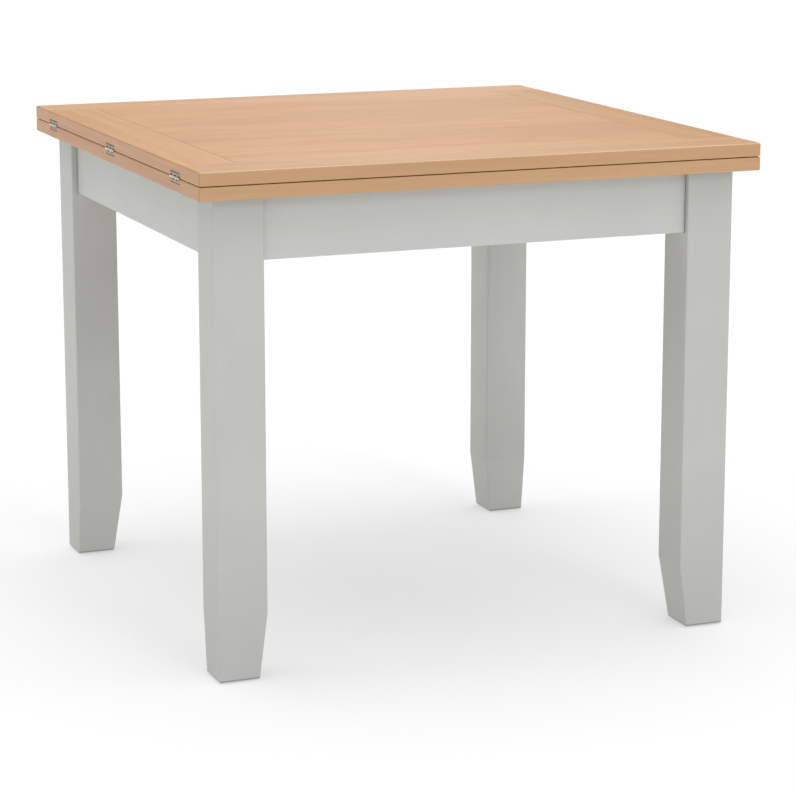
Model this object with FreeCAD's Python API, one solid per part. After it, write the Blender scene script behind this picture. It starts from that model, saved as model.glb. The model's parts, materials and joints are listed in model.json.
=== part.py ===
import FreeCAD, Part
import math
import os

os.makedirs("parts", exist_ok=True)
Vector = FreeCAD.Vector

# Driving dimensions, in millimetres
top_side = 900.0
table_height = 770.0
leaf_thickness = 20.5
leaf_gap = 1.2
leaf_corner_radius = 2.6
leaf_arris = 2.0
seam_arris = 1.6
border_width = 83.0
joint_groove = 0.5
spline_thickness = 4.0
spline_width = 16.0
spline_inset = 12.0
spline_end_gap = 2.0

overhang = 30.5
leg_side = 76.5
leg_arris = 2.5
taper_height = 103.0
taper_depth = 12.9
foot_chamfer = 1.5
foot_glide_radius = 15.0
foot_glide_thickness = 2.5
apron_height = 94.0
apron_thickness = 20.0
apron_recess = 11.0
apron_arris = 2.0
glide_gap = 2.0
felt_clearance = 0.2
leg_felt_radius = 20.0
apron_felt_length = 60.0
apron_felt_width = 14.0

corner_block_height = 58.0
corner_block_thickness = 28.0
corner_block_drop = 27.8
corner_block_leg_gap = 2.0
leg_bolt_radius = 4.0
leg_bolt_depth = 40.0
leg_bolt_spread = 32.0

pivot_rail_width = 130.0
pivot_rail_thickness = 22.0
cleat_block_gap = 5.0
cleat_height = 30.0
cleat_depth = 30.0
swivel_range = 90.0
swivel_plate_side = 120.0
swivel_plate_thickness = 3.0
thrust_disc_radius = 30.0
thrust_disc_thickness = 2.0
run_clearance = 0.1
pivot_bolt_radius = 5.0
pivot_fit = 0.05
bush_wall = 2.0
bush_flange_radius = 11.0
bush_flange_thickness = 2.0
stop_pin_radius = 4.0
stop_pin_orbit = 42.0
stop_pin_reach = 14.0
stop_clearance = 0.3

hinge_length = 44.0
hinge_inset = 113.0
hinge_plate_width = 8.0
hinge_plate_thickness = 1.2
hinge_plate_corner = 1.5
hinge_seam = 0.3
knuckle_radius = 1.8
knuckle_count = 5
knuckle_gap = 0.3
knuckle_notch = 3.6
knuckle_pocket = 3.0
hinge_pin_radius = 0.9
hinge_fit = 0.05
mortise_clearance = 0.5

hole_clearance = 0.05
bumper_radius = 6.0
bumper_inset = 30.0
bumper_clearance = 0.1

# Levels and positions that follow from them
half_top = top_side / 2
lower_bottom = table_height - 2 * leaf_thickness - leaf_gap
lower_top = lower_bottom + leaf_thickness
upper_bottom = lower_top + leaf_gap
frame_top = lower_bottom - glide_gap
frame_half = half_top - overhang
leg_inner = frame_half - leg_side
apron_outer = frame_half - apron_recess
apron_inner = apron_outer - apron_thickness
apron_bottom = frame_top - apron_height
foot_centre = frame_half - (leg_side - taper_depth) / 2
panel_half = half_top - border_width
plate_bottom = lower_bottom - swivel_plate_thickness
rail_top = plate_bottom - run_clearance - thrust_disc_thickness
rail_bottom = rail_top - pivot_rail_thickness
pivot_x = -top_side / 4
pivot_y = top_side / 4
hinge_x = -half_top - hinge_seam
hinge_z = lower_top + leaf_gap / 2
hinge_rows = [hinge_inset - half_top, 0.0, half_top - hinge_inset]
hinge_names = ["front", "middle", "back"]
sides = {"front": -1, "back": 1, "left": -1, "right": 1}
corners = [(x_name, y_name) for y_name in ("front", "back") for x_name in ("left", "right")]


def box(x0, x1, y0, y1, z0, z1):
    return Part.makeBox(x1 - x0, y1 - y0, z1 - z0, Vector(x0, y0, z0))


def rod(radius, start, direction, length):
    return Part.makeCylinder(radius, length, start, direction)


def ring(outer, inner, start, direction, length):
    return rod(outer, start, direction, length).cut(rod(inner, start, direction, length))


def joined(shapes):
    return shapes[0].multiFuse(shapes[1:]).removeSplitter()


def prism(points, travel):
    return Part.Face(Part.makePolygon(points + [points[0]])).extrude(travel)


def hexagon(across_flats, start, direction, length):
    spin = FreeCAD.Rotation(Vector(0, 0, 1), direction)
    reach = across_flats / math.sqrt(3)
    angles = [math.radians(60 * step) for step in range(6)]
    points = [start + spin.multVec(Vector(reach * math.cos(a), reach * math.sin(a), 0)) for a in angles]
    return prism(points, direction * length)


# A countersunk wood screw with its head flush at start; grown by clearance it is also its own hole.
def countersunk(start, direction, length, shank, head, clearance=0.0):
    cone_length = head - shank
    cone = Part.makeCone(head + clearance, shank + clearance, cone_length, start, direction)
    return joined([cone, rod(shank + clearance, start, direction, length + clearance)])


def screw_and_hole(start, direction, length, shank, head):
    return [countersunk(start, direction, length, shank, head, grow) for grow in (0.0, hole_clearance)]


def export(name, solids):
    shape = solids[0] if len(solids) == 1 else Part.makeCompound(solids)
    shape.exportStep("parts/" + name + ".step")


def edges_where(shape, test):
    return [edge for edge in shape.Edges if test(edge)]


def is_upright(edge):
    first, last = edge.Vertexes[0].Point, edge.Vertexes[-1].Point
    return abs(first.z - last.z) > 1 and len(edge.Vertexes) == 2


def lies_at(edge, level):
    return all(abs(vertex.Z - level) < 1e-4 for vertex in edge.Vertexes)


# Legs: square posts whose two inner faces taper in at the foot
def leg_profile(side, along_x):
    outer = side * frame_half
    inner = side * leg_inner
    toe = side * (leg_inner + taper_depth)
    corner_list = [
        (outer, foot_glide_thickness),
        (outer, frame_top),
        (inner, frame_top),
        (inner, taper_height),
        (toe, foot_glide_thickness),
    ]
    if along_x:
        points = [Vector(side_pos, -top_side, level) for side_pos, level in corner_list]
        return prism(points, Vector(0, 2 * top_side, 0))
    points = [Vector(-top_side, side_pos, level) for side_pos, level in corner_list]
    return prism(points, Vector(2 * top_side, 0, 0))


def leg_bolt_axis(x_side, y_side):
    return Vector(-x_side, -y_side, 0).normalize()


block_middle = frame_top - corner_block_drop - corner_block_height / 2
bolt_levels = [block_middle - leg_bolt_spread / 2, block_middle + leg_bolt_spread / 2]
washer_thickness = 1.6
nut_thickness = 6.5
bolt_tail = 3.0
bolt_length = leg_bolt_depth + corner_block_leg_gap + corner_block_thickness
bolt_length += washer_thickness + nut_thickness + bolt_tail
nail_radius = 1.25
nail_length = 18.0
nail_head_radius = 3.0
nail_head_thickness = 1.0
block_screw_shank = 2.0
block_screw_head = 4.0
block_screw_length = 32.0
block_screw_spread = 30.0
cleat_screw_shank = 2.25
cleat_screw_head = 4.5
cleat_screw_length = cleat_depth + 0.7 * apron_thickness
cleat_screw_inset = 20.0

leg_bolts, leg_bolt_washers, leg_bolt_nuts = [], [], []
block_screws = []
foot_glides, foot_glide_nails, leg_felts = [], [], []
cleat_screws, rail_screws = [], []
apron_holes = {name: [] for name in sides}


# Distance along the corner's diagonal from the frame centre to a plane of the corner block
block_outer = leg_inner * math.sqrt(2) - corner_block_leg_gap
block_inner = block_outer - corner_block_thickness
block_reach_outer = block_outer * math.sqrt(2) - apron_inner
block_reach_inner = block_inner * math.sqrt(2) - apron_inner


def make_corner(x_name, y_name):
    x_side = sides[x_name]
    y_side = sides[y_name]
    post = leg_profile(x_side, True).common(leg_profile(y_side, False))
    post = post.makeFillet(leg_arris, edges_where(post, is_upright))
    post = post.makeChamfer(foot_chamfer, edges_where(post, lambda e: lies_at(e, foot_glide_thickness)))

    # Diagonal corner block, its ends flat against the two aprons
    outline = [
        (apron_inner, block_reach_outer),
        (block_reach_outer, apron_inner),
        (block_reach_inner, apron_inner),
        (apron_inner, block_reach_inner),
    ]
    block_bottom = block_middle - corner_block_height / 2
    points = [Vector(x_side * px, y_side * py, block_bottom) for px, py in outline]
    block = prism(points, Vector(0, 0, corner_block_height))

    inward = leg_bolt_axis(x_side, y_side)
    leg_corner = Vector(x_side * leg_inner, y_side * leg_inner, 0)
    for level in bolt_levels:
        start = leg_corner - inward * leg_bolt_depth + Vector(0, 0, level)
        hole = rod(leg_bolt_radius + hole_clearance, start - inward * hole_clearance, inward, bolt_length)
        post = post.cut(hole)
        block = block.cut(hole)
        seat = leg_corner + inward * (corner_block_leg_gap + corner_block_thickness) + Vector(0, 0, level)
        leg_bolts.append(rod(leg_bolt_radius, start, inward, bolt_length))
        bore = leg_bolt_radius + hole_clearance
        leg_bolt_washers.append(ring(2.5 * leg_bolt_radius, bore, seat, inward, washer_thickness))
        nut_seat = seat + inward * washer_thickness
        nut = hexagon(3.25 * leg_bolt_radius, nut_seat, inward, nut_thickness)
        leg_bolt_nuts.append(nut.cut(rod(bore, nut_seat, inward, nut_thickness)))

    # Screws from the block into both aprons, set in counterbores in its slanting face
    screw_line = (block_reach_outer + block_reach_inner) / 2
    screw_start = block_inner * math.sqrt(2) - screw_line
    bore_depth = block_screw_head
    access_length = 3 * bore_depth
    for level in (block_middle - block_screw_spread / 2, block_middle + block_screw_spread / 2):
        for apron_name, along in ((x_name, Vector(x_side, 0, 0)), (y_name, Vector(0, y_side, 0))):
            across = Vector(0, y_side, 0) if apron_name == x_name else Vector(x_side, 0, 0)
            mouth = along * screw_start + across * screw_line + Vector(0, 0, level)
            head_seat = mouth + along * bore_depth
            screw, hole = screw_and_hole(
                head_seat, along, block_screw_length, block_screw_shank, block_screw_head
            )
            block_screws.append(screw)
            access_start = head_seat - along * access_length
            access = rod(block_screw_head + hole_clearance, access_start, along, access_length)
            block = block.cut(hole).cut(access)
            apron_holes[apron_name].append(hole)

    # Nylon foot glide nailed to the foot, and a felt on top of the leg
    foot = Vector(x_side * foot_centre, y_side * foot_centre, 0)
    up = Vector(0, 0, 1)
    sunk = foot + up * (foot_glide_thickness / 2)
    nail = joined([rod(nail_head_radius, sunk - up * nail_head_thickness, up, nail_head_thickness),
                   rod(nail_radius, sunk, up, nail_length)])
    glide = rod(foot_glide_radius, foot, up, foot_glide_thickness)
    glide = glide.makeChamfer(foot_glide_thickness / 4, edges_where(glide, lambda e: lies_at(e, 0)))
    glide = glide.cut(rod(nail_head_radius + hole_clearance, foot, up, foot_glide_thickness / 2))
    glide = glide.cut(rod(nail_radius + hole_clearance, foot, up, foot_glide_thickness))
    post = post.cut(rod(nail_radius + hole_clearance, sunk, up, nail_length + hole_clearance))
    foot_glides.append(glide)
    foot_glide_nails.append(nail)
    leg_middle = (frame_half + leg_inner) / 2
    felt_seat = Vector(x_side * leg_middle, y_side * leg_middle, frame_top)
    leg_felts.append(rod(leg_felt_radius, felt_seat, up, glide_gap - felt_clearance))

    corner_name = y_name + "_" + x_name
    export("leg_" + corner_name, [post])
    export("corner_block_" + corner_name, [block])


for corner in corners:
    make_corner(*corner)

export("leg_bolts", leg_bolts)
export("leg_bolt_washers", leg_bolt_washers)
export("leg_bolt_nuts", leg_bolt_nuts)
export("corner_block_screws", block_screws)
export("foot_glides", foot_glides)
export("foot_glide_nails", foot_glide_nails)
export("leg_felts", leg_felts)


# Swivel carrier: a plank across the frame on two cleats
cleat_x0 = cleat_block_gap - block_reach_inner
cleat_x1 = pivot_x + pivot_rail_width / 2
cleat_mid = (cleat_x0 + cleat_x1) / 2
cleat_screw_offset = (cleat_x1 - cleat_x0) / 2 - cleat_screw_inset
cleat_bottom = rail_bottom - cleat_height
upward = Vector(0, 0, 1)
downward = Vector(0, 0, -1)
pivot = Vector(pivot_x, pivot_y, 0)
bore_radius = pivot_bolt_radius + pivot_fit
half_rail = pivot_rail_width / 2
pivot_rail = box(pivot_x - half_rail, pivot_x + half_rail, -apron_inner, apron_inner, rail_bottom, rail_top)
bush_seat = pivot + upward * rail_bottom
pivot_rail = pivot_rail.cut(rod(bore_radius + bush_wall, bush_seat, upward, pivot_rail_thickness))


# Curved slot for the stop pin, a quarter turn about the pivot
def slot_point(radius, degrees):
    angle = math.radians(degrees)
    return Vector(pivot_x + radius * math.cos(angle), pivot_y + radius * math.sin(angle), rail_bottom)


slot_half = stop_pin_radius + stop_clearance
slot_lead = math.degrees(stop_clearance / stop_pin_orbit)
slot_low = -swivel_range - slot_lead
slot_middle = -swivel_range / 2
slot_high = slot_lead
outer_radius = stop_pin_orbit + slot_half
inner_radius = stop_pin_orbit - slot_half
outer_points = [slot_point(outer_radius, turned) for turned in (slot_low, slot_middle, slot_high)]
inner_points = [slot_point(inner_radius, turned) for turned in (slot_low, slot_middle, slot_high)]
slot_wire = Part.Wire([
    Part.Arc(*outer_points).toShape(),
    Part.makeLine(outer_points[-1], inner_points[-1]),
    Part.Arc(*reversed(inner_points)).toShape(),
    Part.makeLine(inner_points[0], outer_points[0]),
])
pivot_rail = pivot_rail.cut(Part.Face(slot_wire).extrude(upward * pivot_rail_thickness))
for end in (slot_low, slot_high):
    slot_end = rod(slot_half, slot_point(stop_pin_orbit, end), upward, pivot_rail_thickness)
    pivot_rail = pivot_rail.cut(slot_end)

rail_screw_shank = 2.25
rail_screw_head = 4.5
rail_screw_length = pivot_rail_thickness + 0.6 * cleat_height
for name in ("front", "back"):
    side = sides[name]
    y_wall = side * apron_inner
    y_face = side * (apron_inner - cleat_depth)
    cleat = box(cleat_x0, cleat_x1, min(y_wall, y_face), max(y_wall, y_face), cleat_bottom, rail_bottom)
    toward = Vector(0, side, 0)
    for offset in (-cleat_screw_offset, cleat_screw_offset):
        start = Vector(cleat_mid + offset, y_face, (cleat_bottom + rail_bottom) / 2 - cleat_height / 4)
        screw, hole = screw_and_hole(start, toward, cleat_screw_length, cleat_screw_shank, cleat_screw_head)
        cleat_screws.append(screw)
        cleat = cleat.cut(hole)
        apron_holes[name].append(hole)
        start = Vector(cleat_mid + offset, side * (apron_inner - cleat_depth / 2), rail_top)
        screw, hole = screw_and_hole(start, downward, rail_screw_length, rail_screw_shank, rail_screw_head)
        rail_screws.append(screw)
        cleat = cleat.cut(hole)
        pivot_rail = pivot_rail.cut(hole)
    export("rail_cleat_" + name, [cleat])
export("pivot_rail", [pivot_rail])
export("cleat_screws", cleat_screws)
export("rail_screws", rail_screws)

# Aprons between the legs, with a felt strip on top of each
apron_felts = []
for name, side in sides.items():
    low, high = sorted((side * apron_inner, side * apron_outer))
    felt_low, felt_high = [(low + high) / 2 + sign * apron_felt_width / 2 for sign in (-1, 1)]
    felt_top = lower_bottom - felt_clearance
    if name in ("front", "back"):
        apron = box(-leg_inner, leg_inner, low, high, apron_bottom, frame_top)
        felt = box(-apron_felt_length / 2, apron_felt_length / 2, felt_low, felt_high, frame_top, felt_top)
    else:
        apron = box(low, high, -leg_inner, leg_inner, apron_bottom, frame_top)
        felt = box(felt_low, felt_high, -apron_felt_length / 2, apron_felt_length / 2, frame_top, felt_top)
    long_bottom = edges_where(apron, lambda e: lies_at(e, apron_bottom) and e.Length > leg_inner)
    apron = apron.makeFillet(apron_arris, long_bottom)
    for hole in apron_holes[name]:
        apron = apron.cut(hole)
    export("apron_" + name, [apron])
    apron_felts.append(felt)
export("apron_felts", apron_felts)

# Swivel: bush and thrust disc in the frame; plate, bolt, washers, nut and stop pin on the lower leaf
flange_bottom = rail_bottom - bush_flange_thickness
bush = joined([
    ring(bore_radius + bush_wall, bore_radius, bush_seat, upward, pivot_rail_thickness),
    ring(bush_flange_radius, bore_radius, pivot + upward * flange_bottom, upward, bush_flange_thickness),
])
export("pivot_bush", [bush])
disc_seat = pivot + upward * rail_top
disc_bore = bore_radius + bush_wall
export("thrust_disc", [ring(thrust_disc_radius, disc_bore, disc_seat, upward, thrust_disc_thickness)])

bolt_head_flats = 3.4 * pivot_bolt_radius
bolt_head_height = 1.28 * pivot_bolt_radius
pivot_washer_thickness = 2.0
spring_washer_thickness = 2.4
spring_split = 2.0
lock_nut_thickness = 10.0
washer_top = flange_bottom - run_clearance
spring_top = washer_top - pivot_washer_thickness
nut_top = spring_top - spring_washer_thickness
bolt_end = nut_top - lock_nut_thickness - bolt_tail
head_seat = pivot + upward * lower_bottom
pivot_bolt = joined([
    hexagon(bolt_head_flats, head_seat, upward, bolt_head_height),
    rod(pivot_bolt_radius, pivot + upward * bolt_end, upward, lower_bottom - bolt_end),
])
export("pivot_bolt", [pivot_bolt])
loose = pivot_bolt_radius + hole_clearance
washer_seat = pivot + upward * washer_top
export("pivot_washer", [ring(bush_flange_radius, loose, washer_seat, downward, pivot_washer_thickness)])
spring_outer = 1.7 * pivot_bolt_radius
spring_seat = pivot + upward * spring_top
spring_washer = ring(spring_outer, loose, spring_seat, downward, spring_washer_thickness)
half_split = spring_split / 2
split_y = (pivot_y - half_split, pivot_y + half_split)
split = box(pivot_x, pivot_x + 2 * spring_outer, *split_y, nut_top, spring_top)
export("pivot_spring_washer", [spring_washer.cut(split)])
lock_nut = hexagon(bolt_head_flats, pivot + upward * nut_top, downward, lock_nut_thickness)
export("pivot_lock_nut", [lock_nut.cut(rod(loose, pivot + upward * nut_top, downward, lock_nut_thickness))])

pin_centre = slot_point(stop_pin_orbit, -swivel_range)
pin_centre.z = 0
stop_pin_end = rail_top - stop_pin_reach
stop_pin_length = lower_bottom - stop_pin_end
export("stop_pin", [rod(stop_pin_radius, pin_centre + upward * stop_pin_end, upward, stop_pin_length)])

half_plate = swivel_plate_side / 2
plate_x = (pivot_x - half_plate, pivot_x + half_plate)
plate_y = (pivot_y - half_plate, pivot_y + half_plate)
plate = box(*plate_x, *plate_y, plate_bottom, lower_bottom)
plate = plate.makeFillet(0.1 * swivel_plate_side, edges_where(plate, is_upright))
plate = plate.cut(rod(loose, pivot + upward * plate_bottom, upward, swivel_plate_thickness))
stop_hole = stop_pin_radius + hole_clearance
plate = plate.cut(rod(stop_hole, pin_centre + upward * plate_bottom, upward, swivel_plate_thickness))
plate_screw_shank = 2.25
plate_screw_head = 4.5
plate_screw_length = swivel_plate_thickness + 0.65 * leaf_thickness
plate_screw_reach = 0.38 * swivel_plate_side
plate_screws, plate_screw_holes = [], []
for x_step in (-1, 1):
    for y_step in (-1, 1):
        start = pivot + Vector(x_step * plate_screw_reach, y_step * plate_screw_reach, plate_bottom)
        screw, hole = screw_and_hole(start, upward, plate_screw_length, plate_screw_shank, plate_screw_head)
        plate_screws.append(screw)
        plate_screw_holes.append(hole)
        plate = plate.cut(hole)
export("swivel_plate", [plate])
export("swivel_plate_screws", plate_screws)
head_recess = rod(0.65 * bolt_head_flats, head_seat, upward, bolt_head_height + 1.0)


# Knuckle hinges let into the hinge edge; turn is -1 for the lower leaf and 1 for the upper one
finger_pitch = hinge_length / knuckle_count
hinge_screw_shank = 1.1
hinge_screw_head = 1.9
hinge_screw_length = 16.0
edge = -half_top


def hinge_span(row, turn, near, far, depth, slack):
    low, high = sorted((hinge_z + turn * near, hinge_z + turn * far))
    half = hinge_length / 2 + slack
    return box(edge - slack, edge + depth, row - half, row + half, low, high)


def is_end_corner(edge_line, level):
    return lies_at(edge_line, level) and abs(edge_line.Length - hinge_plate_thickness) < 1e-4


def hinge_plate(row, turn):
    strip_low, strip_high = sorted((hinge_z + turn * knuckle_notch, hinge_z + turn * hinge_plate_width))
    half = hinge_length / 2
    strip = box(edge, edge + hinge_plate_thickness, row - half, row + half, strip_low, strip_high)
    far_level = hinge_z + turn * hinge_plate_width
    strip = strip.makeFillet(hinge_plate_corner, edges_where(strip, lambda e: is_end_corner(e, far_level)))
    pieces = [strip]
    first = 0 if turn < 0 else 1
    for step in range(first, knuckle_count, 2):
        start = row - half + step * finger_pitch + knuckle_gap / 2
        length = finger_pitch - knuckle_gap
        low, high = sorted((hinge_z, hinge_z + turn * knuckle_notch))
        pieces.append(box(edge, edge + hinge_plate_thickness, start, start + length, low, high))
        pieces.append(rod(knuckle_radius, Vector(hinge_x, start, hinge_z), Vector(0, 1, 0), length))
    solid = joined(pieces)
    bore = hinge_pin_radius + hinge_fit
    return solid.cut(rod(bore, Vector(hinge_x, row - half, hinge_z), Vector(0, 1, 0), hinge_length))


def hinge_screw_starts(row, turn):
    level = hinge_z + turn * (knuckle_notch + hinge_plate_width) / 2
    return [Vector(edge, row + step * 0.34 * hinge_length, level) for step in (-1, 1)]


hinge_cuts = {-1: [], 1: []}
hinge_screws = {-1: [], 1: []}
inward_x = Vector(1, 0, 0)
leaf_names = {-1: "lower", 1: "upper"}
for turn in (-1, 1):
    for name, row in zip(hinge_names, hinge_rows):
        plate_solid = hinge_plate(row, turn)
        hinge_cuts[turn].append(hinge_span(row, turn, 0, knuckle_notch, knuckle_pocket, mortise_clearance))
        mortise_end = hinge_plate_width + mortise_clearance
        mortise = hinge_span(row, turn, 0, mortise_end, hinge_plate_thickness, mortise_clearance)
        hinge_cuts[turn].append(mortise)
        for start in hinge_screw_starts(row, turn):
            screw, hole = screw_and_hole(
                start, inward_x, hinge_screw_length, hinge_screw_shank, hinge_screw_head
            )
            hinge_screws[turn].append(screw)
            hinge_cuts[turn].append(hole)
            plate_solid = plate_solid.cut(hole)
        export("hinge_plate_" + leaf_names[turn] + "_" + name, [plate_solid])
    export("hinge_screws_" + leaf_names[turn], hinge_screws[turn])
hinge_pins = [
    rod(hinge_pin_radius, Vector(hinge_x, row - hinge_length / 2, hinge_z), Vector(0, 1, 0), hinge_length)
    for row in hinge_rows
]
export("hinge_pins", hinge_pins)

# Leaves: one board each, rounded, grooved along the border joints and split into panel and rails
def v_groove(along_x, line, level, facing, reach):
    deep = level - facing * joint_groove
    clear = level + facing * joint_groove
    cross = [(line, deep), (line - 2 * joint_groove, clear), (line + 2 * joint_groove, clear)]
    if along_x:
        return prism([Vector(-reach, offset, height) for offset, height in cross], Vector(2 * reach, 0, 0))
    return prism([Vector(offset, -reach, height) for offset, height in cross], Vector(0, 2 * reach, 0))


def make_leaf(turn):
    name = leaf_names[turn]
    bottom = lower_bottom if turn < 0 else upper_bottom
    top = bottom + leaf_thickness
    outer_level = bottom if turn < 0 else top
    seam_level = top if turn < 0 else bottom
    board = box(-half_top, half_top, -half_top, half_top, bottom, top)
    board = board.makeFillet(leaf_corner_radius, edges_where(board, is_upright))
    board = board.makeFillet(leaf_arris, edges_where(board, lambda e: lies_at(e, outer_level)))
    hinge_end = leaf_corner_radius - half_top
    seam_edges = edges_where(board, lambda e: lies_at(e, seam_level) and e.CenterOfMass.x > hinge_end)
    board = board.makeFillet(seam_arris, seam_edges)
    for level, facing in ((bottom, -1), (top, 1)):
        for side in (-1, 1):
            board = board.cut(v_groove(True, side * panel_half, level, facing, top_side))
            board = board.cut(v_groove(False, side * panel_half, level, facing, panel_half))

    middle = (bottom + top) / 2
    spline_low = middle - spline_thickness / 2
    spline_high = middle + spline_thickness / 2
    half_spline = spline_width / 2
    long_reach = half_top - spline_inset
    short_reach = panel_half - half_spline - spline_end_gap
    splines, grooves = [], []
    for side in (-1, 1):
        line = side * panel_half
        for slack, store in ((0.0, splines), (hole_clearance, grooves)):
            low = spline_low - slack
            high = spline_high + slack
            width = half_spline + slack
            strip = (line - width, line + width)
            long_span = (-long_reach - slack, long_reach + slack)
            short_span = (-short_reach - slack, short_reach + slack)
            store.append(box(*long_span, *strip, low, high))
            store.append(box(*strip, *short_span, low, high))
    cutters = grooves + hinge_cuts[turn]
    if turn < 0:
        cutters = cutters + plate_screw_holes + [head_recess]
    regions = {
        "panel": (-panel_half, panel_half, -panel_half, panel_half),
        "rail_hinge": (-top_side, -panel_half, -panel_half, panel_half),
        "rail_free": (panel_half, top_side, -panel_half, panel_half),
        "rail_front": (-top_side, top_side, -top_side, -panel_half),
        "rail_back": (-top_side, top_side, panel_half, top_side),
    }
    for region_name, (x0, x1, y0, y1) in regions.items():
        region = box(x0, x1, y0, y1, bottom - 1, top + 1)
        piece = board.common(region)
        for cutter in cutters:
            if piece.BoundBox.intersect(cutter.BoundBox):
                piece = piece.cut(cutter)
        export(name + "_" + region_name, [piece])
    export(name + "_splines", splines)


for leaf_turn in (-1, 1):
    make_leaf(leaf_turn)

# Clear bumpers along the free edge keep the folded leaves apart
bumper_x = half_top - bumper_inset
bumper_height = leaf_gap - bumper_clearance
bumpers = [rod(bumper_radius, Vector(bumper_x, row, lower_top), upward, bumper_height) for row in hinge_rows]
export("leaf_bumpers", bumpers)
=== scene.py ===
import bpy
import json
import math
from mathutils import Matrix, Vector

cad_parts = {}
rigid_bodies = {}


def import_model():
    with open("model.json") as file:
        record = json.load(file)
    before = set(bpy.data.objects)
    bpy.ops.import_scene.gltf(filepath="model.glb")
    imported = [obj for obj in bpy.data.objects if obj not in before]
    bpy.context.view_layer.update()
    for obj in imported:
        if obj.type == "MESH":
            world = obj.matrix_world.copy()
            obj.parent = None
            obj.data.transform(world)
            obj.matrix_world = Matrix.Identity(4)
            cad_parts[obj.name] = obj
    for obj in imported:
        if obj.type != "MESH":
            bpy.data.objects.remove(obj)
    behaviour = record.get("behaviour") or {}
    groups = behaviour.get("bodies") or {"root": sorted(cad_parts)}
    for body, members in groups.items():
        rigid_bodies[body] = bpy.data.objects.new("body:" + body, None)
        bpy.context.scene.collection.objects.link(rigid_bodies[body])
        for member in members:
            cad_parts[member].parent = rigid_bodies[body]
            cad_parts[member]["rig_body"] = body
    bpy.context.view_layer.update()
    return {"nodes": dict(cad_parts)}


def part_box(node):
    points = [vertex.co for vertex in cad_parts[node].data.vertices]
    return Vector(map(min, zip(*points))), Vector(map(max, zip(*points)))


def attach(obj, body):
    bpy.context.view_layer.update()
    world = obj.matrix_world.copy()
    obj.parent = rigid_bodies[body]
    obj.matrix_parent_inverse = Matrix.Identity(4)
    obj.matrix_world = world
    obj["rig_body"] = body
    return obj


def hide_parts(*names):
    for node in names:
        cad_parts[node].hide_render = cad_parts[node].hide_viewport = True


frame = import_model()
cadNodes = frame["nodes"]
print("frame loaded with", len(cadNodes), "nodes")

mmPerMetre = 1000
noiseSpread = (0.3, 0.7)  # most values of a noise lie between these
srgbCurve = {"toe": 0.04045, "toeSlope": 12.92, "lift": 0.055, "power": 2.4}  # from the sRGB standard


def linearColour(hexCode):
    linear = []
    for place in (1, 3, 5):
        channel = int(hexCode[place:place + 2], 16) / 255
        if channel <= srgbCurve["toe"]:
            linear.append(channel / srgbCurve["toeSlope"])
        else:
            lifted = (channel + srgbCurve["lift"]) / (1 + srgbCurve["lift"])
            linear.append(lifted ** srgbCurve["power"])
    return linear + [1.0]


# Adds one node. An input is a plain value, an output socket, or a list of output sockets to be joined.
def addNode(tree, kind, settings=None, inputs=None):
    node = tree.nodes.new(kind)
    for name, value in (settings or {}).items():
        setattr(node, name, value)
    for name, value in (inputs or {}).items():
        several = isinstance(value, list) and isinstance(value[0], bpy.types.NodeSocket)
        for link in value if several else [value]:
            if isinstance(link, bpy.types.NodeSocket):
                tree.links.new(link, node.inputs[name])
            else:
                node.inputs[name].default_value = link
    return node


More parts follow.
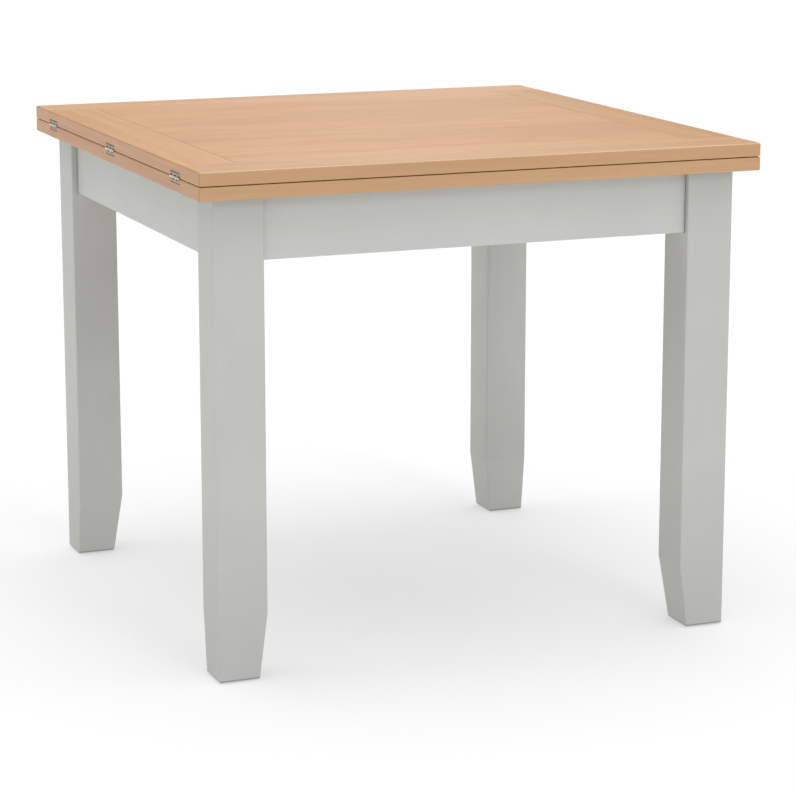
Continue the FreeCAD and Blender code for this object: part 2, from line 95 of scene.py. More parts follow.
# Makes a finish: grain layers on a base colour, then marks at set places. A layer's tint comes in, up to
# its share, as its noise rises through its range. Relief comes from all layers and gloss from the last
# one. Widths, lengths and reliefs are in millimetres. Limits and soft edges of marks are in metres.
def makeFinish(name, spec, grainAxis=0):
    material = bpy.data.materials.new(name)
    material.use_nodes = True
    tree = material.node_tree
    tree.nodes.clear()
    surface = addNode(tree, "ShaderNodeBsdfPrincipled")
    addNode(tree, "ShaderNodeOutputMaterial", None, {"Surface": surface.outputs["BSDF"]})
    place = addNode(tree, "ShaderNodeTexCoord").outputs["Object"]

    colour = linearColour(spec["base"])
    height = 0.0
    for layer in spec["layers"]:
        grain = [layer["width"]] * 3
        grain[grainAxis] = layer.get("length", layer["width"])
        perMetre = [mmPerMetre / size for size in grain]
        spot = addNode(tree, "ShaderNodeVectorMath", {"operation": "MULTIPLY"}, {0: place, 1: perMetre})
        noise = addNode(
            tree, "ShaderNodeTexNoise", None,
            {"Vector": spot.outputs[0], "Scale": 1.0, "Detail": layer["detail"]},
        )
        share = addNode(
            tree, "ShaderNodeMapRange", None,
            {
                "Value": noise.outputs["Fac"],
                "From Min": layer["range"][0],
                "From Max": layer["range"][1],
                "To Max": layer["share"],
            },
        )
        mixed = addNode(
            tree, "ShaderNodeMixRGB", None,
            {"Fac": share.outputs["Result"], "Color1": colour, "Color2": linearColour(layer["tint"])},
        )
        colour = mixed.outputs["Color"]
        raised = addNode(
            tree, "ShaderNodeMath", {"operation": "MULTIPLY_ADD"},
            {0: share.outputs["Result"], 1: layer.get("relief", 0.0), 2: height},
        )
        height = raised.outputs[0]

    whole = addNode(tree, "ShaderNodeSeparateXYZ", None, {"Vector": place})
    mirrored = addNode(tree, "ShaderNodeVectorMath", {"operation": "ABSOLUTE"}, {0: place})
    half = addNode(tree, "ShaderNodeSeparateXYZ", None, {"Vector": mirrored.outputs[0]})
    lengths = {
        "x": whole.outputs["X"],
        "z": whole.outputs["Z"],
        "eitherX": half.outputs["X"],
        "eitherY": half.outputs["Y"],
    }
    for mark in spec.get("marks", ()):
        inside = mark["share"]
        for axis, (low, high) in mark["limits"].items():
            offset = addNode(
                tree, "ShaderNodeMath", {"operation": "SUBTRACT"},
                {0: lengths[axis], 1: (low + high) / 2},
            )
            distance = addNode(
                tree, "ShaderNodeMath", {"operation": "ABSOLUTE"},
                {0: offset.outputs[0]},
            )
            within = addNode(
                tree, "ShaderNodeMapRange", None,
                {
                    "Value": distance.outputs[0],
                    "From Min": (high - low) / 2 + mark["soft"],
                    "From Max": (high - low) / 2,
                },
            )
            narrowed = addNode(
                tree, "ShaderNodeMath", {"operation": "MULTIPLY"},
                {0: within.outputs["Result"], 1: inside},
            )
            inside = narrowed.outputs[0]
        mixed = addNode(
            tree, "ShaderNodeMixRGB", None,
            {"Fac": inside, "Color1": colour, "Color2": linearColour(mark["tint"])},
        )
        colour = mixed.outputs["Color"]

    gloss = addNode(
        tree, "ShaderNodeMapRange", None,
        {
            "Value": noise.outputs["Fac"],
            "From Min": noiseSpread[0],
            "From Max": noiseSpread[1],
            "To Min": spec["roughness"][0],
            "To Max": spec["roughness"][1],
        },
    )
    relief = addNode(tree, "ShaderNodeBump", None, {"Distance": 1 / mmPerMetre, "Height": height})
    tree.links.new(colour, surface.inputs["Base Color"])
    tree.links.new(gloss.outputs["Result"], surface.inputs["Roughness"])
    tree.links.new(relief.outputs["Normal"], surface.inputs["Normal"])
    for socketName, value in spec.get("surface", {}).items():
        surface.inputs[socketName].default_value = value
    return material


# Camera at the photograph's angle, fitted to the corners of the leaves, legs and aprons
photoView = {
    "place": (-1.6658, -4.2462, 1.3176),
    "turn": 21.802,
    "dip": 12.382,
    "focalPixels": 2834.7,
    "framePixels": 796,
    "sensor": 36.0,
}
cameraData = bpy.data.cameras.new("photoCamera")
cameraData.sensor_width = photoView["sensor"]
cameraData.lens = photoView["focalPixels"] / photoView["framePixels"] * photoView["sensor"]
camera = bpy.data.objects.new("photoCamera", cameraData)
camera.location = photoView["place"]
tilt = math.radians(90 - photoView["dip"])  # a camera looks straight down at 0 and level at 90
camera.rotation_euler = (tilt, 0, math.radians(-photoView["turn"]))
bpy.context.scene.collection.objects.link(camera)
bpy.context.scene.camera = camera
print("camera set, lens", round(cameraData.lens, 1), "mm")

# Studio: a soft white dome, brighter overhead and a little brighter behind, with a bright patch low
# behind that gives the top its sheen, and two wide lamps, low in front and low on the left. Polished
# pieces mirror a lamp as a glow of the dome, dimmer than the lamp.
studio = {
    "white": "#FFFFFF",
    "fill": 0.16,
    "overhead": 2.3,
    "overheadFocus": 3.0,
    "behind": 0.1,
    "behindFocus": 1.0,
    "backdrop": 1.2,
    "backdropFocus": 240.0,
    "backdropFrom": Vector((0.369, 0.913, 0.174)),
    "lampSpread": 18.0,
    "lampFocus": 64.0,
    "lamps": {
        "frontLamp": {"light": 0.4, "glow": 1.2, "from": Vector((0.2, -1.0, 0.44)).normalized()},
        "sideLamp": {"light": 0.22, "glow": 0.7, "from": Vector((-1.0, 0.2, 0.3)).normalized()},
    },
}
bpy.context.scene.view_settings.view_transform = "Standard"
world = bpy.data.worlds.new("studioDome")
bpy.context.scene.world = world
world.use_nodes = True
dome = world.node_tree
dome.nodes.clear()
heading = addNode(dome, "ShaderNodeTexCoord").outputs["Generated"]
glows = [
    (Vector((0, 0, 1)), studio["overheadFocus"], studio["overhead"]),
    (Vector((0, 1, 0)), studio["behindFocus"], studio["behind"]),
    (studio["backdropFrom"], studio["backdropFocus"], studio["backdrop"]),
]
for lampName, spec in studio["lamps"].items():
    glows.append((spec["from"], studio["lampFocus"], spec["glow"]))
    lampData = bpy.data.lights.new(lampName, "SUN")
    lampData.energy = spec["light"]
    lampData.angle = math.radians(studio["lampSpread"])
    lamp = bpy.data.objects.new(lampName, lampData)
    lamp.rotation_euler = spec["from"].to_track_quat("Z", "Y").to_euler()
    lamp.visible_glossy = False
    bpy.context.scene.collection.objects.link(lamp)
glowing = studio["fill"]
for direction, focus, strength in glows:
    nearness = addNode(
        dome, "ShaderNodeVectorMath", {"operation": "DOT_PRODUCT"},
        {0: heading, 1: direction},
    )
    facing = addNode(
        dome, "ShaderNodeMath", {"operation": "MAXIMUM"},
        {0: nearness.outputs["Value"], 1: 0.0},
    )
    focused = addNode(dome, "ShaderNodeMath", {"operation": "POWER"}, {0: facing.outputs[0], 1: focus})
    added = addNode(
        dome, "ShaderNodeMath", {"operation": "MULTIPLY_ADD"},
        {0: focused.outputs[0], 1: strength, 2: glowing},
    )
    glowing = added.outputs[0]
light = addNode(
    dome, "ShaderNodeBackground", None,
    {"Color": linearColour(studio["white"]), "Strength": glowing},
)
addNode(dome, "ShaderNodeOutputWorld", None, {"Surface": light.outputs["Background"]})

# Floor: a wide sheet of matt white card with a faint mottle, lit a little from below as a studio table is
floorSpec = {
    "half": 60.0,
    "finish": {
        "base": "#BABABB",
        "layers": (
            {"width": 400.0, "detail": 2.0, "range": (0.0, 1.0), "share": 1.0, "tint": "#B8B8B9"},
        ),
        "roughness": (0.88, 0.92),
        "surface": {
            "Specular IOR Level": 0.1,
            "Emission Color": linearColour(studio["white"]),
            "Emission Strength": 0.46,
        },
    },
}
reach = floorSpec["half"]
corners = [(-reach, -reach, 0), (reach, -reach, 0), (reach, reach, 0), (-reach, reach, 0)]
floorMesh = bpy.data.meshes.new("floor")
floorMesh.from_pydata(corners, [], [(0, 1, 2, 3)])
floorMesh.materials.append(makeFinish("mattWhiteCard", floorSpec["finish"]))
floor = bpy.data.objects.new("floor", floorMesh)
bpy.context.scene.collection.objects.link(floor)

# Backdrop: a far ring of white card that closes the horizon in low views. It neither lights nor shades
# the table.
backdropSpec = {
    "radius": 55.0,
    "height": 20.0,
    "sides": 64,
    "finish": {
        "base": "#BABABB",
        "layers": (
            {"width": 4000.0, "detail": 2.0, "range": (0.0, 1.0), "share": 1.0, "tint": "#B8B8B9"},
        ),
        "roughness": (0.88, 0.92),
        "surface": {
            "Specular IOR Level": 0.1,
            "Emission Color": linearColour(studio["white"]),
            "Emission Strength": 0.65,
        },
    },
}
ringSides = backdropSpec["sides"]
ringPoints = []
for level in (0.0, backdropSpec["height"]):
    for step in range(ringSides):
        angle = math.tau * step / ringSides
        across = backdropSpec["radius"] * math.cos(angle)
        along = backdropSpec["radius"] * math.sin(angle)
        ringPoints.append((across, along, level))
ringFaces = []
for step in range(ringSides):
    following = (step + 1) % ringSides
    ringFaces.append((step, step + ringSides, following + ringSides, following))
backdropMesh = bpy.data.meshes.new("backdrop")
backdropMesh.from_pydata(ringPoints, [], ringFaces)
backdropMesh.materials.append(makeFinish("farWhiteCard", backdropSpec["finish"]))
backdrop = bpy.data.objects.new("backdrop", backdropMesh)
backdrop.visible_diffuse = False
backdrop.visible_glossy = False
backdrop.visible_transmission = False
backdrop.visible_shadow = False
bpy.context.scene.collection.objects.link(backdrop)
print("studio, floor and backdrop made")

# What shows at set places on the leaves
leafMarks = (
    # line of the joint at the hinge end of the panel, dark, and at the free end, faint
    {
        "limits": {"x": (-0.3674, -0.3666), "eitherY": (-0.367, 0.367)},
        "soft": 0.0005,
        "share": 0.7,
        "tint": "#7E5636",
    },
    {
        "limits": {"x": (0.3666, 0.3674), "eitherY": (-0.367, 0.367)},
        "soft": 0.0005,
        "share": 0.25,
        "tint": "#7E5636",
    },
    # painted highlight: a pale line along the upper outer edges of the long rails, where the two faces meet
    {
        "limits": {"eitherY": (0.4487, 0.46), "z": (0.7687, 0.78)},
        "soft": 0.0004,
        "share": 0.45,
        "tint": "#F0D2B0",
    },
    # long edges at the seam between the leaves, a little dark: painted shade of the gap between the leaves
    {
        "limits": {"eitherY": (0.4487, 0.46), "z": (0.7481, 0.7497)},
        "soft": 0.0003,
        "share": 0.1,
        "tint": "#5A3C25",
    },
    # edges at the seam on the hinge side, painted pale as a highlight that lightens the seam
    {
        "limits": {"x": (-0.46, -0.4492), "z": (0.7478, 0.75)},
        "soft": 0.0003,
        "share": 0.6,
        "tint": "#F0D2B0",
    },
    # underside of the lower leaf: the rails left bare and greyed and a dark backing on the panel, a dark
    # sheet put there as painted shade to deepen the shade under the top
    {
        "limits": {"z": (0.72, 0.728)},
        "soft": 0.0002,
        "share": 0.85,
        "tint": "#91897E",
    },
    {
        "limits": {"eitherX": (-0.367, 0.367), "eitherY": (-0.367, 0.367), "z": (0.72, 0.728)},
        "soft": 0.0002,
        "share": 0.9,
        "tint": "#3C3B3A",
    },
    # walls and floors of the outer hinge cuts and of the middle one, painted dark as the shade inside the
    # cuts
    {
        "limits": {"x": (-0.4499, -0.44), "eitherY": (0.3144, 0.3596), "z": (0.7403, 0.7575)},
        "soft": 0.00005,
        "share": 1.0,
        "tint": "#22160D",
    },
    {
        "limits": {"x": (-0.4499, -0.44), "eitherY": (-0.0226, 0.0226), "z": (0.7403, 0.7575)},
        "soft": 0.00005,
        "share": 1.0,
        "tint": "#22160D",
    },
)

# Pores of the oak are about 0.25 mm wide on the real wood and are drawn coarser so that they show
oakPores = {
    "width": 0.9, "length": 18.0, "detail": 1.0,
    "range": (0.6, 0.72), "share": 0.25, "tint": "#9A6A3E", "relief": -0.03,
}

# Oak under satin clear lacquer: warm tan with soft broad bands along the grain, fine darker lines and
# a soft sheen
oakSpec = {
    "base": "#DAA978",
    "layers": (
        {
            "width": 80.0, "length": 600.0, "detail": 2.0,
            "range": (0.35, 0.65), "share": 0.9, "tint": "#CA9868",
        },
        {
            "width": 22.0, "length": 300.0, "detail": 2.0,
            "range": (0.45, 0.75), "share": 0.29, "tint": "#B37D50",
        },
        oakPores,
        {
            "width": 2.6, "length": 110.0, "detail": 2.0,
            "range": (0.35, 0.7), "share": 0.28, "tint": "#B37D50", "relief": -0.03,
        },
    ),
    # the long rails a shade paler, a painted sheen near the front edge; their sides paler; their cut ends
    # darker, end grain deepened with painted shade on the end faces
    "marks": (
        {"limits": {"eitherY": (0.3672, 0.4485)}, "soft": 0.0005, "share": 0.14, "tint": "#DBBD9F"},
        {"limits": {"eitherY": (0.4489, 0.46)}, "soft": 0.0005, "share": 0.3, "tint": "#CBB18E"},
        {"limits": {"eitherX": (0.4489, 0.46)}, "soft": 0.0005, "share": 0.8, "tint": "#BE8B59"},
    ) + leafMarks,
    "roughness": (0.34, 0.42),
    "surface": {"IOR": 1.5},
}

# The same oak on the rails whose grain runs across: the bands are finer, the outer sides a shade deeper as
# painted shade, and the free rail a shade yellower
oakCrossSpec = {
    "base": "#DAA978",
    "layers": (
        {
            "width": 30.0, "length": 800.0, "detail": 2.0,
            "range": (0.35, 0.65), "share": 0.8, "tint": "#CA9868",
        },
        {
            "width": 10.0, "length": 420.0, "detail": 2.0,
            "range": (0.45, 0.75), "share": 0.22, "tint": "#B37D50",
        },
        oakPores,
        {
            "width": 2.2, "length": 140.0, "detail": 2.0,
            "range": (0.35, 0.7), "share": 0.28, "tint": "#B37D50", "relief": -0.03,
        },
    ),
    "marks": (
        {"limits": {"eitherX": (0.4489, 0.46)}, "soft": 0.0005, "share": 0.4, "tint": "#A46A38"},
        {"limits": {"x": (0.3675, 0.4485)}, "soft": 0.0005, "share": 0.38, "tint": "#B98A4E"},
    ) + leafMarks,
    "roughness": (0.34, 0.42),
    "surface": {"IOR": 1.5},
}

# Light grey lacquer sprayed on hardwood: an even warm grey, faintly cloudy, with a very fine spray
# texture and a trace of the wood's grain in the gloss. Spray grit is under 1 mm and is drawn at 2.5 mm.
lacquerSpec = {
    "base": "#CACBC6",
    "layers": (
        {"width": 90.0, "detail": 2.0, "range": noiseSpread, "share": 0.8, "tint": "#C5C6C1"},
        {
            "width": 2.5, "detail": 1.0,
            "range": noiseSpread, "share": 0.2, "tint": "#C2C3BE", "relief": 0.02,
        },
        {
            "width": 2.0, "length": 90.0, "detail": 2.0,
            "range": noiseSpread, "share": 0.3, "tint": "#C2C3BE", "relief": -0.02,
        },
    ),
    # the feet, darker towards the floor as painted shade and darkest at the very bottom as a painted
    # contact shadow, and the corners where aprons meet legs
    "marks": (
        {"limits": {"z": (-0.01, 0.03)}, "soft": 0.25, "share": 0.3, "tint": "#A5A6A1"},
        {"limits": {"z": (-0.01, 0.004)}, "soft": 0.002, "share": 0.6, "tint": "#5F605D"},
        # a dark joint line in each inner corner where an apron meets a leg, widened with painted shade
        {
            "limits": {"eitherX": (0.3424, 0.3436), "eitherY": (0.4069, 0.41), "z": (0.6318, 0.7258)},
            "soft": 0.0025,
            "share": 0.6,
            "tint": "#5A5B58",
        },
        {
            "limits": {"eitherY": (0.3424, 0.3436), "eitherX": (0.4069, 0.41), "z": (0.6318, 0.7258)},
            "soft": 0.0025,
            "share": 0.25,
            "tint": "#5A5B58",
        },
    ),
    "roughness": (0.52, 0.62),
    "surface": {"IOR": 1.48},
}

# The aprons' coat of the same lacquer, a shade paler as painted light on them
apronPaintedLightLacquerSpec = {
    "base": "#D3D4CF",
    "layers": (
        {"width": 90.0, "detail": 2.0, "range": noiseSpread, "share": 0.8, "tint": "#CECFCA"},
        {
            "width": 2.5, "detail": 1.0,
            "range": noiseSpread, "share": 0.2, "tint": "#CBCCC7", "relief": 0.02,
        },
        {
            "width": 2.0, "length": 90.0, "detail": 2.0,
            "range": noiseSpread, "share": 0.3, "tint": "#CBCCC7", "relief": -0.02,
        },
    ),
    "roughness": (0.52, 0.62),
    "surface": {"IOR": 1.48},
}

# Bare planed beech: pale pinkish wood with short darker flecks along the grain
beechSpec = {
    "base": "#DDBB93",
    "layers": (
        {
            "width": 12.0, "length": 300.0, "detail": 2.0,
            "range": (0.35, 0.65), "share": 0.6, "tint": "#CFA77C",
        },
        {
            "width": 1.2, "length": 9.0, "detail": 1.0,
            "range": (0.58, 0.7), "share": 0.5, "tint": "#AD8358", "relief": -0.04,
        },
    ),
    "roughness": (0.55, 0.7),
    "surface": {"IOR": 1.5},
}

# Bright zinc plating on steel: bluish silver, slightly cloudy
zincSpec = {
    "base": "#C9CDD0",
    "layers": (
        {
            "width": 3.0, "detail": 3.0,
            "range": noiseSpread, "share": 1.0, "tint": "#A9AEB0", "relief": 0.01,
        },
    ),
    "roughness": (0.28, 0.42),
    "surface": {"Metallic": 1.0},
}

# Satin nickel plating on steel: warm grey metal with brush lines along the hinge, drawn at 0.4 mm so that
# they show, with a painted highlight on the knuckles where they stand proud and painted shade along the
# plates' edges
nickelSpec = {
    "base": "#C4B5A2",
    "layers": (
        {
            "width": 0.4, "length": 8.0, "detail": 3.0,
            "range": noiseSpread, "share": 1.0, "tint": "#A99B89", "relief": 0.005,
        },
    ),
    "marks": (
        {"limits": {"x": (-0.46, -0.451)}, "soft": 0.0008, "share": 1.0, "tint": "#F0E2CB"},
        {"limits": {"z": (0.739, 0.7413)}, "soft": 0.0004, "share": 0.8, "tint": "#3F372D"},
        {"limits": {"z": (0.7558, 0.759)}, "soft": 0.0004, "share": 0.8, "tint": "#3F372D"},
    ),
    "roughness": (0.45, 0.58),
    "surface": {"Metallic": 1.0},
}

# Black powder coat on steel: matt black with a fine pebbled skin, drawn at 1 mm
powderCoatSpec = {
    "base": "#2A2A2B",
    "layers": (
        {
            "width": 1.0, "detail": 3.0,
            "range": noiseSpread, "share": 1.0, "tint": "#1C1C1D", "relief": 0.05,
        },
    ),
    "roughness": (0.45, 0.6),
}

# Moulded dark nylon: near black, dull, faintly mottled
darkNylonSpec = {
    "base": "#3A3937",
    "layers": (
        {
            "width": 2.0, "detail": 3.0,
            "range": noiseSpread, "share": 1.0, "tint": "#2B2A29", "relief": 0.02,
        },
    ),
    "roughness": (0.42, 0.55),
    "surface": {"IOR": 1.53},
}

# Moulded natural nylon: milky white with a soft gloss
whiteNylonSpec = {
    "base": "#ECE9DF",
    "layers": (
        {
            "width": 3.0, "detail": 3.0,
            "range": noiseSpread, "share": 1.0, "tint": "#DFDBCF", "relief": 0.01,
        },
    ),
    "roughness": (0.32, 0.45),
    "surface": {"IOR": 1.53},
}

# Pressed grey wool felt: matted fibres without gloss, drawn at 1.2 mm
feltSpec = {
    "base": "#99958D",
    "layers": (
        {
            "width": 1.2, "detail": 3.0,
            "range": noiseSpread, "share": 1.0, "tint": "#6F6B64", "relief": 0.2,
        },
    ),
    "roughness": (0.9, 1.0),
    "surface": {"Sheen Weight": 0.3},
}

# Clear cast polyurethane: see-through with a faint milky cloud
bumperSpec = {
    "base": "#F4F4EE",
    "layers": (
        {
            "width": 4.0, "detail": 3.0,
            "range": noiseSpread, "share": 1.0, "tint": "#E4E4DC", "relief": 0.005,
        },
    ),
    "roughness": (0.12, 0.25),
    "surface": {"Transmission Weight": 0.85, "IOR": 1.49},
}

# Finishes by the slot of a node; the wooden ones are made anew for each run of the grain
plainFinishes = {
    "zinc_plated_steel": makeFinish("zincPlatedSteel", zincSpec),
    "nickel_plated_steel": makeFinish("satinNickel", nickelSpec, 1),
    "black_painted_steel": makeFinish("blackPowderCoat", powderCoatSpec),
    "dark_nylon": makeFinish("mouldedDarkNylon", darkNylonSpec),
    "white_nylon": makeFinish("mouldedWhiteNylon", whiteNylonSpec),
    "felt": makeFinish("pressedWoolFelt", feltSpec),
    "clear_bumper": makeFinish("clearPolyurethane", bumperSpec),
}
woodFinishes = {
    ("oak", 0): makeFinish("lacqueredOakAlong", oakSpec, 0),
    ("oak", 1): makeFinish("lacqueredOakAcross", oakCrossSpec, 1),
    # the aprons' lacquer, painted paler as painted light
    ("grey", 0): makeFinish("greyLacquerAlongPaintedPaler", apronPaintedLightLacquerSpec, 0),
    ("grey", 1): makeFinish("greyLacquerAcrossPaintedPaler", apronPaintedLightLacquerSpec, 1),
    ("grey", 2): makeFinish("greyLacquerUpright", lacquerSpec, 2),
    ("raw", 0): makeFinish("bareBeechAlong", beechSpec, 0),
    ("raw", 1): makeFinish("bareBeechAcross", beechSpec, 1),
}
millimetreDigits = 3  # sides are compared to the millimetre
for nodeName, node in cadNodes.items():
    slotName = node.material_slots[0].material.name
    lowest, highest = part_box(nodeName)
    sides = [round(high - low, millimetreDigits) for low, high in zip(lowest, highest)]
    grainAxis = sides.index(max(sides))  # wood is cut with its grain along its longest side
    finish = plainFinishes.get(slotName) or woodFinishes[(slotName.split("_")[0], grainAxis)]
    node.material_slots[0].material = finish
print("finishes given to", len(cadNodes), "nodes")

cornerDigits = 5  # corners that agree to 0.01 mm are one


# The corners of each separate solid in a node: triangles belong together where they share a corner
def solidsOf(nodeName):
    mesh = cadNodes[nodeName].data
    leader = {}

    def lead(key):
        while leader[key] != key:
            key = leader[key]
        return key

    keys = [tuple(round(part, cornerDigits) for part in vertex.co) for vertex in mesh.vertices]
    leader.update((key, key) for key in keys)
    for polygon in mesh.polygons:
        first, *others = [lead(keys[index]) for index in polygon.vertices]
        for other in others:
            leader[lead(other)] = lead(first)
    groups = {}
    for key in leader:
        groups.setdefault(lead(key), []).append(Vector(key))
    return list(groups.values())


def boxOf(points):
    lowest = Vector([min(point[axis] for point in points) for axis in range(3)])
    highest = Vector([max(point[axis] for point in points) for axis in range(3)])
    return lowest, highest


# Starts a Geometry Nodes tree whose inputs are lengths in metres, a seed and a material
def startTree(name, lengths):
    tree = bpy.data.node_groups.new(name, "GeometryNodeTree")
    tree.interface.new_socket("Places", in_out="INPUT", socket_type="NodeSocketGeometry")
    for label in lengths:
        tree.interface.new_socket(label, in_out="INPUT", socket_type="NodeSocketFloat")
    tree.interface.new_socket("Seed", in_out="INPUT", socket_type="NodeSocketInt")
    tree.interface.new_socket("Finish", in_out="INPUT", socket_type="NodeSocketMaterial")
    tree.interface.new_socket("Pieces", in_out="OUTPUT", socket_type="NodeSocketGeometry")
    return tree, addNode(tree, "NodeGroupInput").outputs


# Ends a tree: one shape at each place, turned to face along the stored direction and spun by chance
def endTree(tree, given, shape, spinLimit):
    facing = addNode(
        tree, "GeometryNodeInputNamedAttribute", {"data_type": "FLOAT_VECTOR"},
        {"Name": "facing"},
    )
    turned = addNode(
        tree, "FunctionNodeAlignRotationToVector", {"axis": "Z"},
        {"Vector": facing.outputs["Attribute"]},
    )
    chance = addNode(tree, "FunctionNodeRandomValue", {"data_type": "FLOAT"}, {"Seed": given["Seed"]})
    chance.inputs[2].default_value = 0.0  # sockets 2 and 3 hold the lowest and highest number
    chance.inputs[3].default_value = spinLimit
    spin = addNode(
        tree, "FunctionNodeAxisAngleToRotation", None,
        {"Axis": (0, 0, 1), "Angle": chance.outputs[1]},
    )
    spun = addNode(
        tree, "FunctionNodeRotateRotation", {"rotation_space": "LOCAL"},
        {"Rotation": turned.outputs["Rotation"], "Rotate By": spin.outputs["Rotation"]},
    )
    placed = addNode(
        tree, "GeometryNodeInstanceOnPoints", None,
        {"Points": given["Places"], "Instance": shape, "Rotation": spun.outputs["Rotation"]},
    )
    real = addNode(tree, "GeometryNodeRealizeInstances", None, {"Geometry": placed.outputs["Instances"]})
    dressed = addNode(
        tree, "GeometryNodeSetMaterial", None,
        {"Geometry": real.outputs["Geometry"], "Material": given["Finish"]},
    )
    addNode(tree, "NodeGroupOutput", None, {"Pieces": dressed.outputs["Geometry"]})


# Puts a tree's shape at each place, as one plain mesh that stands for a node and rides with it
def fitRepeats(pieceName, tree, values, places, facings, nodeName):
    spots = bpy.data.meshes.new(pieceName + "Places")
    spots.from_pydata(places, [], [])
    facing = spots.attributes.new("facing", "FLOAT_VECTOR", "POINT")
    facing.data.foreach_set("vector", [part for direction in facings for part in direction])
    piece = bpy.data.objects.new(pieceName, spots)
    bpy.context.scene.collection.objects.link(piece)
    modifier = piece.modifiers.new("repeats", "NODES")
    modifier.node_group = tree
    for socket in tree.interface.items_tree:
        if socket.in_out == "INPUT" and socket.name in values:
            modifier[socket.identifier] = values[socket.name]
    evaluated = piece.evaluated_get(bpy.context.evaluated_depsgraph_get())
    mesh = bpy.data.meshes.new_from_object(evaluated)
    piece.modifiers.remove(modifier)
    piece.data = mesh
    mesh.name = pieceName
    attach(piece, cadNodes[nodeName]["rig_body"])
    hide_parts(nodeName)
    print(pieceName, len(places), "placed,", len(mesh.polygons), "faces")


# Countersunk screws with a cross recess, heads flush at their places and shanks going in. Recess sizes
# are shares of the head's radius. A cross looks the same after a quarter turn.
screwShape = {
    "headSides": 32,
    "shankSides": 20,
    "recessReach": 1.15,
    "recessWidth": 0.34,
    "recessDepth": 0.45,
    "spinLimit": math.pi / 2,
    "seed": 7,
}
screwTree, given = startTree(
    "crossHeadScrews",
    ("Head Radius", "Shank Radius", "Length", "Recess Width", "Recess Depth"),
)
coneLength = addNode(
    screwTree, "ShaderNodeMath", {"operation": "SUBTRACT"},
    {0: given["Head Radius"], 1: given["Shank Radius"]},
)
cone = addNode(
    screwTree, "GeometryNodeMeshCone", None,
    {
        "Vertices": screwShape["headSides"],
        "Radius Top": given["Head Radius"],
        "Radius Bottom": given["Shank Radius"],
        "Depth": coneLength.outputs[0],
    },
)
coneDrop = addNode(
    screwTree, "ShaderNodeMath", {"operation": "MULTIPLY"},
    {0: coneLength.outputs[0], 1: -1.0},
)
coneShift = addNode(screwTree, "ShaderNodeCombineXYZ", None, {"Z": coneDrop.outputs[0]})
head = addNode(
    screwTree, "GeometryNodeTransform", None,
    {"Geometry": cone.outputs["Mesh"], "Translation": coneShift.outputs["Vector"]},
)
recessReach = addNode(
    screwTree, "ShaderNodeMath", {"operation": "MULTIPLY"},
    {0: given["Head Radius"], 1: screwShape["recessReach"]},
)
recessTwice = addNode(  # half of each bar stands above the head
    screwTree, "ShaderNodeMath", {"operation": "MULTIPLY"},
    {0: given["Recess Depth"], 1: 2.0},
)
bars = []
for longAxis, shortAxis in (("X", "Y"), ("Y", "X")):
    barSize = addNode(
        screwTree, "ShaderNodeCombineXYZ", None,
        {longAxis: recessReach.outputs[0], shortAxis: given["Recess Width"], "Z": recessTwice.outputs[0]},
    )
    bar = addNode(screwTree, "GeometryNodeMeshCube", None, {"Size": barSize.outputs["Vector"]})
    bars.append(bar.outputs["Mesh"])
slotted = addNode(
    screwTree, "GeometryNodeMeshBoolean", {"operation": "DIFFERENCE", "solver": "EXACT"},
    {0: head.outputs["Geometry"], 1: bars},
)
shankLength = addNode(
    screwTree, "ShaderNodeMath", {"operation": "SUBTRACT"},
    {0: given["Length"], 1: coneLength.outputs[0]},
)
shank = addNode(
    screwTree, "GeometryNodeMeshCylinder", None,
    {
        "Vertices": screwShape["shankSides"],
        "Radius": given["Shank Radius"],
        "Depth": shankLength.outputs[0],
    },
)
shankEnds = addNode(  # the depths of the shank's two ends added up, so half of it is the middle
    screwTree, "ShaderNodeMath", {"operation": "ADD"},
    {0: given["Length"], 1: coneLength.outputs[0]},
)
shankDrop = addNode(
    screwTree, "ShaderNodeMath", {"operation": "MULTIPLY"},
    {0: shankEnds.outputs[0], 1: -0.5},
)
shankShift = addNode(screwTree, "ShaderNodeCombineXYZ", None, {"Z": shankDrop.outputs[0]})
body = addNode(
    screwTree, "GeometryNodeTransform", None,
    {"Geometry": shank.outputs["Mesh"], "Translation": shankShift.outputs["Vector"]},
)
screw = addNode(
    screwTree, "GeometryNodeJoinGeometry", None,
    {"Geometry": [slotted.outputs["Mesh"], body.outputs["Geometry"]]},
)
endTree(screwTree, given, screw.outputs["Geometry"], screwShape["spinLimit"])

# Screw sizes in millimetres; facing is the way the head looks, or None for towards the table's middle
screwSets = {
    "cornerBlockScrewsCrossHead": {
        "node": "corner_block_screws", "head": 4.0, "shank": 2.0, "length": 32.0, "facing": None,
    },
    "cleatScrewsCrossHead": {
        "node": "cleat_screws", "head": 4.5, "shank": 2.25, "length": 44.0, "facing": None,
    },
    "railScrewsCrossHead": {
        "node": "rail_screws", "head": 4.5, "shank": 2.25, "length": 40.0, "facing": (0, 0, 1),
    },
    "plateScrewsCrossHead": {
        "node": "swivel_plate_screws", "head": 4.5, "shank": 2.25, "length": 16.325, "facing": (0, 0, -1),
    },
    "hingeScrewsLowerCrossHead": {
        "node": "hinge_screws_lower", "head": 1.9, "shank": 1.1, "length": 16.0, "facing": (-1, 0, 0),
    },
    "hingeScrewsUpperCrossHead": {
        "node": "hinge_screws_upper", "head": 1.9, "shank": 1.1, "length": 16.0, "facing": (-1, 0, 0),
    },
}
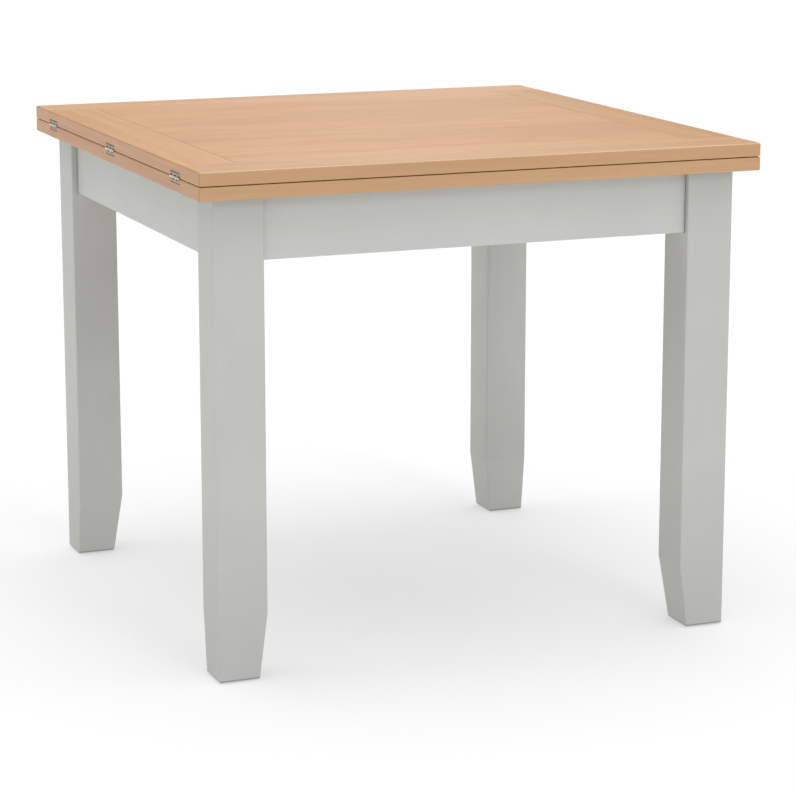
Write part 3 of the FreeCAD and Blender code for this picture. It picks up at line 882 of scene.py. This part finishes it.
for pieceName, spec in screwSets.items():
    places, facings = [], []
    for points in solidsOf(spec["node"]):
        lowest, highest = boxOf(points)
        middle = (lowest + highest) / 2
        sides = highest - lowest
        longAxis = max(range(3), key=lambda axis: sides[axis])
        direction = Vector((0, 0, 0))
        direction[longAxis] = -math.copysign(1, middle[longAxis])
        direction = Vector(spec["facing"] or direction)
        places.append(middle + direction * sides[longAxis] / 2)
        facings.append(direction)
    slotName = "nickel_plated_steel" if spec["node"].startswith("hinge") else "zinc_plated_steel"
    values = {
        "Head Radius": spec["head"] / mmPerMetre,
        "Shank Radius": spec["shank"] / mmPerMetre,
        "Length": spec["length"] / mmPerMetre,
        "Recess Width": screwShape["recessWidth"] * spec["head"] / mmPerMetre,
        "Recess Depth": screwShape["recessDepth"] * spec["head"] / mmPerMetre,
        "Seed": screwShape["seed"],
        "Finish": plainFinishes[slotName],
    }
    fitRepeats(pieceName, screwTree, values, places, facings, spec["node"])

# Hexagon nuts with their corners turned off at both ends and a plain bore, centred on their places. Sizes
# are in millimetres, and the round face's radius is a share of the width across flats.
nutSpec = {
    "node": "leg_bolt_nuts",
    "flats": 13.0,
    "thickness": 6.5,
    "bore": 4.05,
    "faceShare": 0.475,
    "turningSides": 48,
    "boreSides": 32,
    "spinLimit": 0.0,
    "seed": 7,
}
rootThree = math.sqrt(3)  # from a hexagon's corner radius to its flats, and the slope of the turned corners
nutTree, given = startTree("hexagonNuts", ("Across Flats", "Thickness", "Bore Radius"))
cornerReach = addNode(
    nutTree, "ShaderNodeMath", {"operation": "DIVIDE"},
    {0: given["Across Flats"], 1: rootThree},
)
prism = addNode(
    nutTree, "GeometryNodeMeshCylinder", None,
    {"Vertices": 6, "Radius": cornerReach.outputs[0], "Depth": given["Thickness"]},
)
faceReach = addNode(
    nutTree, "ShaderNodeMath", {"operation": "MULTIPLY"},
    {0: given["Across Flats"], 1: nutSpec["faceShare"]},
)
wideReach = addNode(
    nutTree, "ShaderNodeMath", {"operation": "MULTIPLY_ADD"},
    {0: given["Thickness"], 1: rootThree, 2: faceReach.outputs[0]},
)
halfDrop = addNode(
    nutTree, "ShaderNodeMath", {"operation": "MULTIPLY"},
    {0: given["Thickness"], 1: -0.5},
)
halfShift = addNode(nutTree, "ShaderNodeCombineXYZ", None, {"Z": halfDrop.outputs[0]})
turnings = [prism.outputs["Mesh"]]
for topReach, bottomReach in ((faceReach, wideReach), (wideReach, faceReach)):
    turning = addNode(
        nutTree, "GeometryNodeMeshCone", None,
        {
            "Vertices": nutSpec["turningSides"],
            "Radius Top": topReach.outputs[0],
            "Radius Bottom": bottomReach.outputs[0],
            "Depth": given["Thickness"],
        },
    )
    lowered = addNode(
        nutTree, "GeometryNodeTransform", None,
        {"Geometry": turning.outputs["Mesh"], "Translation": halfShift.outputs["Vector"]},
    )
    turnings.append(lowered.outputs["Geometry"])
turnedOff = addNode(
    nutTree, "GeometryNodeMeshBoolean", {"operation": "INTERSECT", "solver": "EXACT"},
    {1: turnings},
)
drillLength = addNode(  # past both ends of the nut
    nutTree, "ShaderNodeMath", {"operation": "MULTIPLY"},
    {0: given["Thickness"], 1: 2.0},
)
drill = addNode(
    nutTree, "GeometryNodeMeshCylinder", None,
    {
        "Vertices": nutSpec["boreSides"],
        "Radius": given["Bore Radius"],
        "Depth": drillLength.outputs[0],
    },
)
bored = addNode(
    nutTree, "GeometryNodeMeshBoolean", {"operation": "DIFFERENCE", "solver": "EXACT"},
    {0: turnedOff.outputs["Mesh"], 1: [drill.outputs["Mesh"]]},
)
endTree(nutTree, given, bored.outputs["Mesh"], nutSpec["spinLimit"])

nutPlaces = [sum(boxOf(points), Vector()) / 2 for points in solidsOf(nutSpec["node"])]
nutFacings = []
for spot in nutPlaces:
    inwards = Vector((-math.copysign(1, spot.x), -math.copysign(1, spot.y), 0))
    nutFacings.append(inwards.normalized())
nutValues = {
    "Across Flats": nutSpec["flats"] / mmPerMetre,
    "Thickness": nutSpec["thickness"] / mmPerMetre,
    "Bore Radius": nutSpec["bore"] / mmPerMetre,
    "Seed": nutSpec["seed"],
    "Finish": plainFinishes["zinc_plated_steel"],
}
fitRepeats(
    "legBoltNutsTurned", nutTree, nutValues, nutPlaces, nutFacings,
    nutSpec["node"],
)
